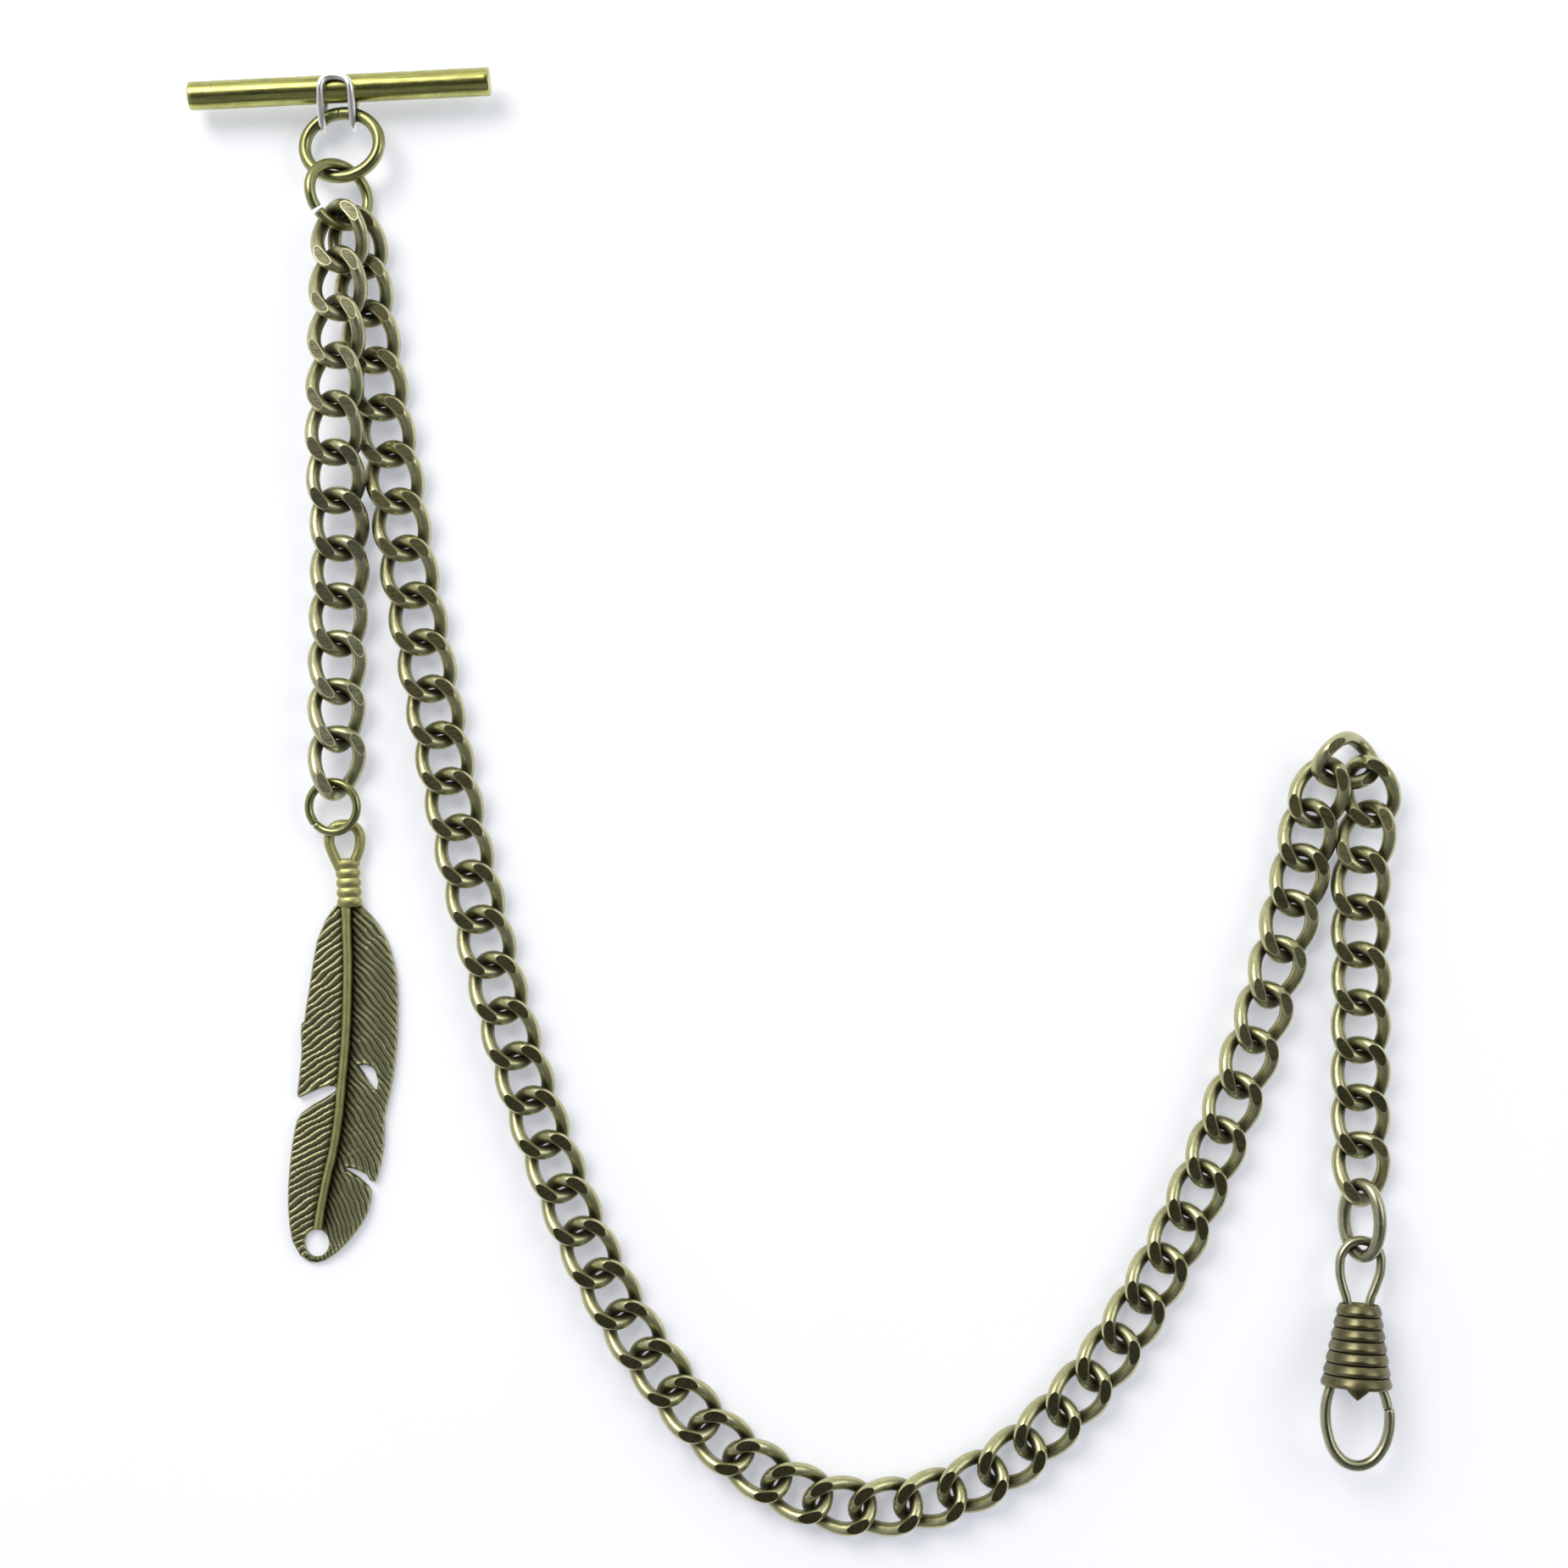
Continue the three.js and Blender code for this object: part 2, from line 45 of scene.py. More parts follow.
# ------------------------------------------------------------------ where every link and ring lies
# (x, y, z, turn about x, turn about y, turn about z): mm and degrees, x first, then y, then z
POSE = {
    "ring1": (-52.138, 75.33, 2.676, -3.53, -10.87, 2.71),
    "ring2": (-52.406, 69.39, 3.101, -24.08, 31.64, -31.57),
    "feather_ring": (-53.254, -2.712, 2.386, 2.53, -10.03, -1.11),
    "oval": (68.144, -51.423, 2.768, -1.632, -49.734, 1.827),
}
FOB = [
    (-52.11, 64.17, 4.446, -6.2, -8.18, 5.83),
    (-52.214, 58.592, 4.9, -2.8, -6.63, 1.2),
    (-52.361, 53.015, 4.899, -0.65, -10.75, -2.5),
    (-52.534, 47.385, 4.819, 1.96, -9.97, -4.08),
    (-52.693, 41.761, 4.421, 6.43, -4.34, -3.59),
    (-52.693, 36.186, 3.551, 10.22, 1.26, 0.23),
    (-52.448, 30.641, 2.534, 9.15, 6.31, 4.23),
    (-52.476, 25.015, 2.163, 1.18, 11.56, 0.34),
    (-52.613, 19.373, 2.25, -1.8, 17.93, -0.59),
    (-52.701, 13.733, 2.44, -1.73, 24.4, -0.07),
    (-52.756, 8.095, 2.61, -1.04, 29.93, -0.24),
    (-52.804, 2.46, 2.652, -0.31, 30.69, -6.21),
]
MAIN = [
    (-50.466, 63.936, 2.068, 9.78, -4.26, 13.84),
    (-49.74, 58.374, 1.754, 0.09, -0.56, 5.54),
    (-48.922, 52.833, 1.739, 1.21, -1.66, 10.33),
    (-48.015, 47.281, 1.74, 0.76, -1.04, 10.74),
    (-47.096, 41.732, 1.738, 1.93, -2.65, 10.21),
    (-46.071, 36.192, 1.74, -0.63, 0.87, 9.08),
    (-45.265, 30.614, 1.74, -0.06, 0.08, 9.44),
    (-44.318, 25.062, 1.74, -0, 0, 9.48),
    (-43.321, 19.52, 1.74, -0, 0, 10.17),
    (-42.25, 13.991, 1.74, -0, 0, 10.6),
    (-41.25, 8.52, 1.74, 0, 0, 10.81),
    (-40.16, 3.06, 1.74, 0, 0, 11.56),
    (-39.029, -2.385, 1.74, 0, -0, 11.78),
    (-37.871, -7.895, 1.74, -0, 0, 12.57),
    (-36.57, -13.3, 1.74, 0, 0, 13.48),
    (-35.26, -18.64, 1.74, 0, 0, 13.85),
    (-33.86, -24.09, 1.74, 0, 0, 14.53),
    (-32.36, -29.44, 1.74, 0, 0, 15.46),
    (-30.73, -34.74, 1.74, 0, 0, 16.65),
    (-29, -39.97, 1.74, 0, 0, 18.35),
    (-27.1, -45.17, 1.74, 0, 0, 19.83),
    (-25.15, -50.29, 1.74, 0, 0, 21.41),
    (-22.94, -55.3, 1.74, 0, 0, 23.75),
    (-20.51, -60.16, 1.74, 0, 0, 26.45),
    (-17.75, -64.93, 1.74, 0, 0, 30.52),
    (-14.65, -69.39, 1.74, 0, 0, 34.99),
    (-11.27, -73.71, 1.74, 0, 0, 40.77),
    (-7.42, -77.61, 1.74, 0, 0, 48.47),
    (-3.15, -80.96, 1.74, 0, 0, 56.52),
    (1.51, -83.65, 1.74, 0, 0, 66.9),
    (6.58, -85.24, 1.74, 0, 0, 80.62),
    (12, -85.5, 1.74, 0, 0, 94.16),
    (17.26, -84.61, 1.74, 0, 0, 105.95),
    (22.29, -82.72, 1.74, 0, 0, 117.04),
    (26.91, -79.87, 1.74, 0, 0, 127.34),
    (31.04, -76.3, 1.74, 0, 0, 135.19),
    (34.77, -72.27, 1.74, 0, 0, 140.33),
    (38.22, -67.92, 1.74, 0, 0, 144.79),
    (41.2, -63.37, 1.74, 0, 0, 149.35),
    (43.91, -58.58, 1.74, 0, 0, 152.16),
    (46.48, -53.76, 1.74, 0, 0, 155.17),
    (48.72, -48.68, 1.74, 0, 0, 157.24),
    (50.912, -43.606, 1.838, -0.03, -2.97, 158.55),
    (52.814, -38.312, 1.907, -0.27, -4.8, 160.67),
    (54.71, -33.009, 2.024, -0.53, -8.24, 160.91),
    (56.408, -27.637, 2.107, 0.03, -11.62, 162.23),
    (57.996, -22.232, 2.128, 1.12, -13.22, 163.08),
    (59.502, -16.814, 1.898, 3.03, -6.29, 165.35),
    (60.867, -11.395, 1.764, -0.61, 1.56, 167.59),
    (61.903, -6.087, 1.953, -3.34, 10.11, 170.86),
    (63.25, -1.025, 2.458, -8.27, 14.76, 155.27),
    (66.275, 2.768, 2.7, 23.38, -3.67, 88.77),
    (69.18, -0.894, 2.273, 0.07, -16.81, 17.16),
    (68.79, -6.224, 2.31, 1.54, -19.66, -13.97),
    (68.137, -11.742, 2.136, 1.29, -13.89, -3.29),
    (68.126, -17.356, 2.141, 0.26, -12.9, -0.55),
    (68.172, -22.99, 2.184, 0.16, -13.96, 0.18),
    (68.153, -28.621, 2.073, 1.24, -11.91, -0.23),
    (68.149, -34.253, 1.953, 2.27, -8.3, -0.67),
    (68.211, -39.88, 1.765, 1.28, -0.98, 1.08),
    (68.268, -45.51, 1.836, -2.77, 6.59, 1.65),
]
# the poses are written round another point than the row's origin: the bar's ends give the shift


def pose_matrix(row):
    x, y, z, rx, ry, rz = row
    r = Matrix.Rotation(math.radians(rz), 4, "Z") @ Matrix.Rotation(math.radians(ry), 4, "Y") @ Matrix.Rotation(math.radians(rx), 4, "X")
    return Matrix.Translation(((x + SHIFT[0]) * MM, (y + SHIFT[1]) * MM, (z + SHIFT[2]) * MM)) @ r


BAR_AT = np.array([-52.3, 81.825, 3.2])
BAR_LENGTH, BAR_R, BAR_TURN = 35.4, 1.65, 2.83
# the shift from the poses' frame to the row's frame, from the T-bar's own box
_lo, _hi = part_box("t_bar")
SHIFT = np.array([(_lo[i] + _hi[i]) / 2 / MM for i in range(3)]) - BAR_AT

LINK_L, LINK_W, LINK_T, LINK_R, FACET_Z = 7.35, 5.35, 1.0, 0.82, 1.5


# ------------------------------------------------------------------ mesh helpers
def obj_from(name, verts, faces, smooth=True):
    me = bpy.data.meshes.new(name)
    me.from_pydata([tuple(v) for v in verts], [], faces)
    me.validate()
    bm = bmesh.new(); bm.from_mesh(me)
    bmesh.ops.recalc_face_normals(bm, faces=bm.faces)
    bm.to_mesh(me); bm.free()
    if smooth:
        me.polygons.foreach_set("use_smooth", [True] * len(me.polygons))
    me.update()
    o = bpy.data.objects.new(name, me)
    scene.collection.objects.link(o)
    return o


def spline(points, n, closed=False):
    """Evenly spaced points on a centripetal Catmull-Rom curve through points."""
    p = np.array(points, float)
    if closed:
        p = np.vstack([p[-1], p, p[0], p[1]])
    else:
        p = np.vstack([2 * p[0] - p[1], p, 2 * p[-1] - p[-2]])
    out = []
    for i in range(1, len(p) - 2):
        t = [0]
        for a in range(3):
            t.append(t[-1] + max(1e-6, np.linalg.norm(p[i + a][:3] - p[i - 1 + a][:3])) ** 0.5)
        for u in np.linspace(t[1], t[2], 24, endpoint=False):
            A = [(t[k + 1] - u) / (t[k + 1] - t[k]) * p[i - 1 + k] + (u - t[k]) / (t[k + 1] - t[k]) * p[i + k] for k in range(3)]
            Bq = [(t[k + 2] - u) / (t[k + 2] - t[k]) * A[k] + (u - t[k]) / (t[k + 2] - t[k]) * A[k + 1] for k in range(2)]
            out.append((t[2] - u) / (t[2] - t[1]) * Bq[0] + (u - t[1]) / (t[2] - t[1]) * Bq[1])
    if not closed:
        out.append(p[-2])
    out = np.array(out)
    q = np.vstack([out, out[:1]]) if closed else out
    s = np.concatenate([[0], np.cumsum(np.linalg.norm(np.diff(q[:, :3], axis=0), axis=1))])
    want = np.linspace(0, s[-1], n, endpoint=not closed)
    return np.stack([np.interp(want, s, q[:, k]) for k in range(q.shape[1])], 1)


def tube(path, radius, sides, closed=False, round_ends=0.0, cut_ends=0.0):
    """A swept round wire. radius is a number or one per point. Returns verts and faces.
    cut_ends is a small bevel at flat-cut ends, round_ends a domed one."""
    P = np.array(path, float)
    n = len(P)
    Rr = np.full(n, radius, float) if np.isscalar(radius) else np.array(radius, float)
    if closed:
        T = np.roll(P, -1, 0) - np.roll(P, 1, 0)
    else:
        T = np.gradient(P, axis=0)
    T /= np.linalg.norm(T, axis=1)[:, None]
    up = np.array([0, 0, 1.0]) if abs(T[0][2]) < 0.9 else np.array([1.0, 0, 0])
    N = np.zeros_like(P)
    v = np.cross(up, T[0]); N[0] = v / np.linalg.norm(v)
    for i in range(1, n):
        v = N[i - 1] - T[i] * np.dot(N[i - 1], T[i]); N[i] = v / np.linalg.norm(v)
    twist = 0.0
    if closed:
        v = N[-1] - T[0] * np.dot(N[-1], T[0]); v /= np.linalg.norm(v)
        twist = math.atan2(np.dot(np.cross(v, N[0]), T[0]), np.dot(v, N[0]))
    B = np.cross(T, N)
    rings = []
    for i in range(n):
        a = np.linspace(0, 2 * np.pi, sides, endpoint=False) + twist * i / n
        rings.append(P[i] + Rr[i] * (np.cos(a)[:, None] * N[i] + np.sin(a)[:, None] * B[i]))
    if not closed:
        def cap(i, sgn):
            out = []
            a = np.linspace(0, 2 * np.pi, sides, endpoint=False)
            ring = lambda r, d: P[i] + sgn * T[i] * d + r * (np.cos(a)[:, None] * N[i] + np.sin(a)[:, None] * B[i])
            if round_ends:
                for k in (25, 50, 72):
                    t = math.radians(k); out.append(ring(Rr[i] * math.cos(t), Rr[i] * math.sin(t) * round_ends))
                out.append(ring(Rr[i] * 0.08, Rr[i] * round_ends))
            else:
                b = cut_ends
                out += [ring(Rr[i] - b * 0.3, b * 0.7), ring(Rr[i] - b, b), ring(Rr[i] * 0.5, b * 1.02)]
            return out
        rings = cap(0, -1)[::-1] + rings + cap(n - 1, 1)
    V = np.vstack(rings); m = len(rings); F = []
    for i in range(m if closed else m - 1):
        j = (i + 1) % m
        for k in range(sides):
            l = (k + 1) % sides
            F.append((i * sides + k, j * sides + k, j * sides + l, i * sides + l))
    if not closed:
        F.append(tuple(range(sides))[::-1]); F.append(tuple((m - 1) * sides + k for k in range(sides)))
    return V, F


# ------------------------------------------------------------------ node materials
def mat_new(name):
    m = bpy.data.materials.new(name); m.use_nodes = True
    nt = m.node_tree; nt.nodes.clear()
    return m, nt


class NT:
    def __init__(s, nt): s.t = nt; s.n = nt.nodes; s.l = nt.links
    def node(s, kind, **kw):
        n = s.n.new(kind)
        for k, v in kw.items():
            setattr(n, k, v)
        return n
    def math(s, op, a, b=None, c=None, clamp=False):
        n = s.n.new("ShaderNodeMath"); n.operation = op; n.use_clamp = clamp
        for i, v in enumerate((a, b, c)):
            if v is None: continue
            if isinstance(v, (int, float)): n.inputs[i].default_value = v
            else: s.l.new(v, n.inputs[i])
        return n.outputs[0]
    def ramp(s, fac, stops, interp="LINEAR"):
        n = s.n.new("ShaderNodeValToRGB"); cr = n.color_ramp; cr.interpolation = interp
        while len(cr.elements) < len(stops): cr.elements.new(0.5)
        for e, (p, c) in zip(cr.elements, stops):
            e.position = p; e.color = (*c, 1) if len(c) == 3 else c
        s.l.new(fac, n.inputs[0]); return n.outputs[0]
    def grey(s, fac, stops): return s.ramp(fac, [(p, (v, v, v)) for p, v in stops])
    def mix(s, fac, a, b, mode="MIX"):
        n = s.n.new("ShaderNodeMix"); n.data_type = "RGBA"; n.blend_type = mode
        for key, v in (("Factor", fac), ("A", a), ("B", b)):
            sock = [i for i in n.inputs if i.name == key and (i.type == "RGBA" if key != "Factor" else i.type == "VALUE")][0]
            if isinstance(v, (int, float)): sock.default_value = v
            elif isinstance(v, tuple): sock.default_value = (*v, 1)
            else: s.l.new(v, sock)
        return [o for o in n.outputs if o.type == "RGBA"][0]
    def noise(s, vec, scale, detail=3, rough=0.55, w=None, dist=0.0):
        n = s.n.new("ShaderNodeTexNoise"); n.noise_dimensions = "4D" if w is not None else "3D"
        n.inputs["Scale"].default_value = scale; n.inputs["Detail"].default_value = detail
        n.inputs["Roughness"].default_value = rough; n.inputs["Distortion"].default_value = dist
        s.l.new(vec, n.inputs["Vector"])
        if w is not None: s.l.new(w, n.inputs["W"])
        return n.outputs[0]
    def stretched(s, vec, sx, sy, sz, rot=(0, 0, 0)):
        n = s.n.new("ShaderNodeMapping"); n.inputs["Scale"].default_value = (sx, sy, sz)
        n.inputs["Rotation"].default_value = rot
        s.l.new(vec, n.inputs["Vector"]); return n.outputs[0]


def metal(name, hi, mid, lo, rough=0.3, ao_mm=1.5, ao_lo=0.34, ao_hi=0.93, grain=0.35, mottle=0.5, brushed=None, bump=0.12, wear=0.6, lumps=0.0, wear_and_painted_light=False):
    """Antiqued plate: bright worn metal, a mid patina in patches, and recesses darkened by ambient occlusion, partly
    patina and partly painted shade.
    """
    m, nt = mat_new(name); g = NT(nt)
    tc = g.node("ShaderNodeTexCoord"); info = g.node("ShaderNodeObjectInfo")
    vec = tc.outputs["Object"]; w = g.math("MULTIPLY", info.outputs["Random"], 40.0)
    patches = g.noise(vec, 420, 4, 0.6, w, 0.6)
    fine = g.noise(vec, 5200, 3, 0.7, w)
    spots = g.noise(vec, 2100, 2, 0.5, w, 1.5)
    ao = g.node("ShaderNodeAmbientOcclusion", samples=8); ao.inputs["Distance"].default_value = ao_mm * MM
    # ambient occlusion mask: low in recesses, where the colour takes painted shade as well as patina
    recess_patina_and_shade = g.grey(ao.outputs["AO"], [(ao_lo, 0.0), (ao_hi, 1.0)])
    geo = g.node("ShaderNodeNewGeometry")
    edge = g.grey(geo.outputs["Pointiness"], [(0.5, 0.0), (0.56, 1.0)])
    patch = g.grey(patches, [(0.36, 0.0), (0.62, 1.0)])
    colour = g.mix(g.math("MULTIPLY", patch, mottle), hi, mid)
    pits = g.grey(spots, [(0.62, 0.0), (0.74, 1.0)])
    colour = g.mix(g.math("MULTIPLY", pits, 0.55), colour, lo)
    colour = g.mix(g.math("MULTIPLY", g.grey(fine, [(0.35, 0.0), (0.7, 1.0)]), grain), colour, mid)
    if brushed is not None:
        lines = g.noise(g.stretched(vec, *brushed), 1.0, 3, 0.6, w)
        colour = g.mix(g.math("MULTIPLY", g.grey(lines, [(0.42, 0.0), (0.7, 1.0)]), 0.6), colour, lo)
    # painted shade: the colour darkens towards lo wherever ambient occlusion finds a recess, partly patina and partly
    # shade from neighbouring parts
    colour = g.mix(g.math("POWER", recess_patina_and_shade, 1.6), lo, colour)
    # the vane's per-point attribute paints light and shade: low values darken to lo between the barbs and beside the
    # quill, high values lighten the crests, partly wear and partly painted highlight
    if wear_and_painted_light:
        tn = g.node("ShaderNodeAttribute", attribute_type="GEOMETRY", attribute_name="wear_and_painted_light")
        barb_painted_shade = g.grey(tn.outputs["Fac"], [(0.0, 0.0), (0.5, 1.0)])
        crest_wear_and_highlight = g.grey(tn.outputs["Fac"], [(0.5, 0.0), (1.0, 1.0)])
        colour = g.mix(barb_painted_shade, lo, colour)
        colour = g.mix(g.math("MULTIPLY", crest_wear_and_highlight, 0.85), colour, tuple(min(1, c * 1.45) for c in hi))
    colour = g.mix(g.math("MULTIPLY", edge, wear), colour, tuple(min(1, c * 1.25) for c in hi))
    b = g.node("ShaderNodeBsdfPrincipled")
    g.l.new(colour, b.inputs["Base Color"])
    b.inputs["Metallic"].default_value = 1.0
    r = g.math("ADD", g.math("MULTIPLY", g.grey(patches, [(0.3, 0.0), (0.7, 1.0)]), 0.12), rough)
    r = g.math("ADD", r, g.math("MULTIPLY", g.math("SUBTRACT", 1.0, recess_patina_and_shade), 0.25))
    g.l.new(r, b.inputs["Roughness"])
    bp = g.node("ShaderNodeBump"); bp.inputs["Strength"].default_value = bump; bp.inputs["Distance"].default_value = 0.00004
    h = g.math("ADD", fine, g.math("MULTIPLY", spots, 0.8))
    if brushed is not None: h = g.math("ADD", h, g.math("MULTIPLY", lines, 1.2))
    g.l.new(h, bp.inputs["Height"])
    if lumps:
        b2 = g.node("ShaderNodeBump"); b2.inputs["Strength"].default_value = lumps; b2.inputs["Distance"].default_value = 0.0002
        g.l.new(g.noise(vec, 750, 2, 0.5, w), b2.inputs["Height"]); g.l.new(bp.outputs[0], b2.inputs["Normal"])
        g.l.new(b2.outputs[0], b.inputs["Normal"])
    else:
        g.l.new(bp.outputs[0], b.inputs["Normal"])
    o = g.node("ShaderNodeOutputMaterial"); g.l.new(b.outputs[0], o.inputs[0])
    return m


HI = (0.58, 0.565, 0.315); MID = (0.24, 0.23, 0.112); LO = (0.005, 0.005, 0.002)
chain_metal = metal("antique_bronze", HI, MID, LO, rough=0.22, ao_mm=1.9, ao_lo=0.42, ao_hi=0.97, lumps=0.25)
fob_metal = metal("antique_bronze_fob", (0.56, 0.55, 0.32), (0.22, 0.215, 0.115), LO, rough=0.23, ao_mm=1.9, ao_lo=0.42, ao_hi=0.97, lumps=0.25)
# the inset ring round each facet: a lighter colour, partly edge wear and partly a painted highlight where a bevelled
# rim would catch light
rim_wear_and_painted_highlight = metal("worn_rim_and_painted_highlight", (0.46, 0.44, 0.28), (0.28, 0.265, 0.16), (0.08, 0.075, 0.04), rough=0.3, ao_lo=0.05, ao_hi=0.4, mottle=0.5)
# the main links' facets: brushed, with a dark colour that also stands in as a painted reflection of the dark overhead
facet_brushed_and_painted_reflection = metal("facet_brushed_and_painted_reflection", (0.19, 0.18, 0.09), (0.10, 0.094, 0.046), (0.016, 0.015, 0.007), rough=0.36, brushed=(900, 6500, 900, (0, 0, 0.6)), ao_lo=0.0, ao_hi=0.3, wear=0.0)
facet_grey = metal("facet_grey", (0.25, 0.24, 0.15), (0.12, 0.115, 0.07), (0.028, 0.026, 0.014), rough=0.42, brushed=(900, 6500, 900, (0, 0, 0.6)), ao_lo=0.0, ao_hi=0.3, wear=0.0)
gold = metal("gold_bronze", (0.37, 0.38, 0.17), (0.21, 0.205, 0.08), (0.02, 0.019, 0.007), rough=0.22, mottle=0.6, ao_lo=0.3, ao_hi=0.9, lumps=0.1)
bar_metal = metal("bar_bronze", (0.60, 0.61, 0.20), (0.33, 0.315, 0.10), (0.04, 0.036, 0.012), rough=0.2, mottle=0.55, brushed=(140, 5200, 5200), bump=0.1, ao_lo=0.15, ao_hi=0.7)
clasp_metal = metal("clasp_bronze", (0.50, 0.49, 0.32), (0.24, 0.225, 0.14), (0.012, 0.012, 0.012), rough=0.22, mottle=0.55, ao_lo=0.4, ao_hi=0.95)
sleeve_metal = metal("sleeve_bronze", (0.22, 0.203, 0.105), (0.085, 0.077, 0.04), (0.010, 0.009, 0.007), rough=0.27, mottle=0.6, ao_mm=0.8, ao_lo=0.45, ao_hi=0.95)
feather_metal = metal("feather_bronze", (0.36, 0.355, 0.20), (0.20, 0.193, 0.10), (0.012, 0.012, 0.005), rough=0.34, ao_mm=0.5, ao_lo=0.3, ao_hi=0.9, mottle=0.5, grain=0.45, bump=0.25, wear=0.3, wear_and_painted_light=True)
quill_metal = metal("quill_bronze", (0.50, 0.49, 0.21), (0.24, 0.228, 0.09), (0.03, 0.028, 0.012), rough=0.4, ao_mm=0.6, ao_lo=0.2, ao_hi=0.8, grain=0.6, bump=0.7, mottle=0.45)
silver = metal("silver_wire", (1.0, 1.0, 0.97), (0.8, 0.81, 0.78), (0.1, 0.1, 0.11), rough=0.26, mottle=0.4, grain=0.3, ao_lo=0.05, ao_hi=0.5)


# ------------------------------------------------------------------ curb links
def link_mesh(name, mats):
    th = np.linspace(0, 2 * np.pi, 112, endpoint=False)
    path = np.stack([LINK_W / 2 * np.cos(th), LINK_L / 2 * np.sin(th), LINK_T * np.sin(2 * th)], 1)
    V, F = tube(path, LINK_R, 28, closed=True)
    bm = bmesh.new()
    vs = [bm.verts.new(v) for v in V]
    for f in F: bm.faces.new([vs[i] for i in f])
    for z, sgn in ((FACET_Z, 1), (-FACET_Z, -1)):
        geom = bm.verts[:] + bm.edges[:] + bm.faces[:]
        r = bmesh.ops.bisect_plane(bm, geom=geom, plane_co=(0, 0, z), plane_no=(0, 0, sgn), clear_outer=True, dist=1e-5)
        edges = [e for e in r["geom_cut"] if isinstance(e, bmesh.types.BMEdge)]
        bmesh.ops.holes_fill(bm, edges=edges, sides=0)
    bmesh.ops.recalc_face_normals(bm, faces=bm.faces)
    for f in bm.faces:
        f.smooth = True; f.material_index = 0
    flats = [f for f in bm.faces if len(f.verts) > 8]
    for f in flats:
        for e in f.edges: e.smooth = False
        f.smooth = False
    # the inset ring takes slot 1, painted lighter as edge wear and painted highlight; the facet inside takes slot 2
    r = bmesh.ops.inset_individual(bm, faces=flats, thickness=0.085, depth=0.0)
    for f in r["faces"]: f.material_index = 1; f.smooth = False
    for f in flats: f.material_index = 2; f.smooth = False
    bmesh.ops.scale(bm, vec=(MM, MM, MM), verts=bm.verts)
    me = bpy.data.meshes.new(name); bm.to_mesh(me); bm.free()
    for m in mats: me.materials.append(m)
    return me


def add_link(name, me, row, body, node):
    o = bpy.data.objects.new(name, me); scene.collection.objects.link(o)
    o.matrix_world = pose_matrix(row)
    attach(o, body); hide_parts(node)
    return o


main_me = link_mesh("curb_link_main", (chain_metal, rim_wear_and_painted_highlight, facet_brushed_and_painted_reflection))
fob_me = link_mesh("curb_link_fob", (fob_metal, rim_wear_and_painted_highlight, facet_grey))
for i, row in enumerate(FOB, 1):
    n = "fob_link_%02d" % i
    add_link("fob_%02d_look" % i, fob_me, row, n, n)
for i, row in enumerate(MAIN, 1):
    if 3 <= i <= 50:
        a = i if i % 2 else i - 1
        n = "main_links_%02d_%02d" % (a, a + 1)
    else:
        n = "main_link_%02d" % i
    add_link("main_%02d_look" % i, main_me, row, n, n)


# ------------------------------------------------------------------ rings
def open_ring(name, row, rx, ry, wire, gap_to, gap_mm, mat, body, node):
    """A round or oval ring, sawn through at the place nearest gap_to (in the poses' frame)."""
    M = pose_matrix(row)
    th = np.linspace(0, 2 * np.pi, 720, endpoint=False)
    loc = np.stack([rx * np.cos(th), ry * np.sin(th), 0 * th], 1)
    if gap_to is None:
        V, F = tube(loc[::5], wire, 28, closed=True)
    else:
        Mi = np.array(M); wpt = (loc * MM) @ Mi[:3, :3].T + Mi[:3, 3]
        tgt = np.array([(gap_to[0] + SHIFT[0]) * MM, (gap_to[1] + SHIFT[1]) * MM])
        k = np.linalg.norm(wpt[:, :2] - tgt, axis=1).argmin()
        half = gap_mm / 2 / ((rx + ry) / 2)
        t = np.linspace(th[k] + half, th[k] + 2 * np.pi - half, 130)
        V, F = tube(np.stack([rx * np.cos(t), ry * np.sin(t), 0 * t], 1), wire, 28, cut_ends=0.07)
    o = obj_from(name, V * MM, F)
    o.data.materials.append(mat)
    o.matrix_world = M
    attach(o, body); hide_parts(node)
    return o


open_ring("bar_ring_look", POSE["ring1"], 4.6, 3.8, 0.74, (-52.45, 79.9), 0.16, gold, "bar_ring", "bar_ring")
open_ring("chain_ring_look", POSE["ring2"], 3.9, 3.6, 0.66, (-54.75, 67.15), 0.55, gold, "chain_ring", "chain_ring")
open_ring("feather_ring_look", POSE["feather_ring"], 2.95, 2.95, 0.52, (-55.6, -4.9), 0.3, gold, "feather_ring", "feather_ring")
open_ring("oval_link_look", POSE["oval"], 2.6, 4.24, 0.76, None, 0, clasp_metal, "oval_link", "oval_link")


# ------------------------------------------------------------------ T-bar and bail
def lathe_x(profile, seg):
    """profile: (x, r) points from one end to the other, both ends closed."""
    V, F = [], []
    a = np.linspace(0, 2 * np.pi, seg, endpoint=False)
    for x, r in profile: V += [(x, r * math.cos(t), r * math.sin(t)) for t in a]
    for i in range(len(profile) - 1):
        for k in range(seg):
            l = (k + 1) % seg
            F.append((i * seg + k, i * seg + l, (i + 1) * seg + l, (i + 1) * seg + k))
    F.append(tuple(range(seg))[::-1]); F.append(tuple((len(profile) - 1) * seg + k for k in range(seg)))
    return np.array(V), F


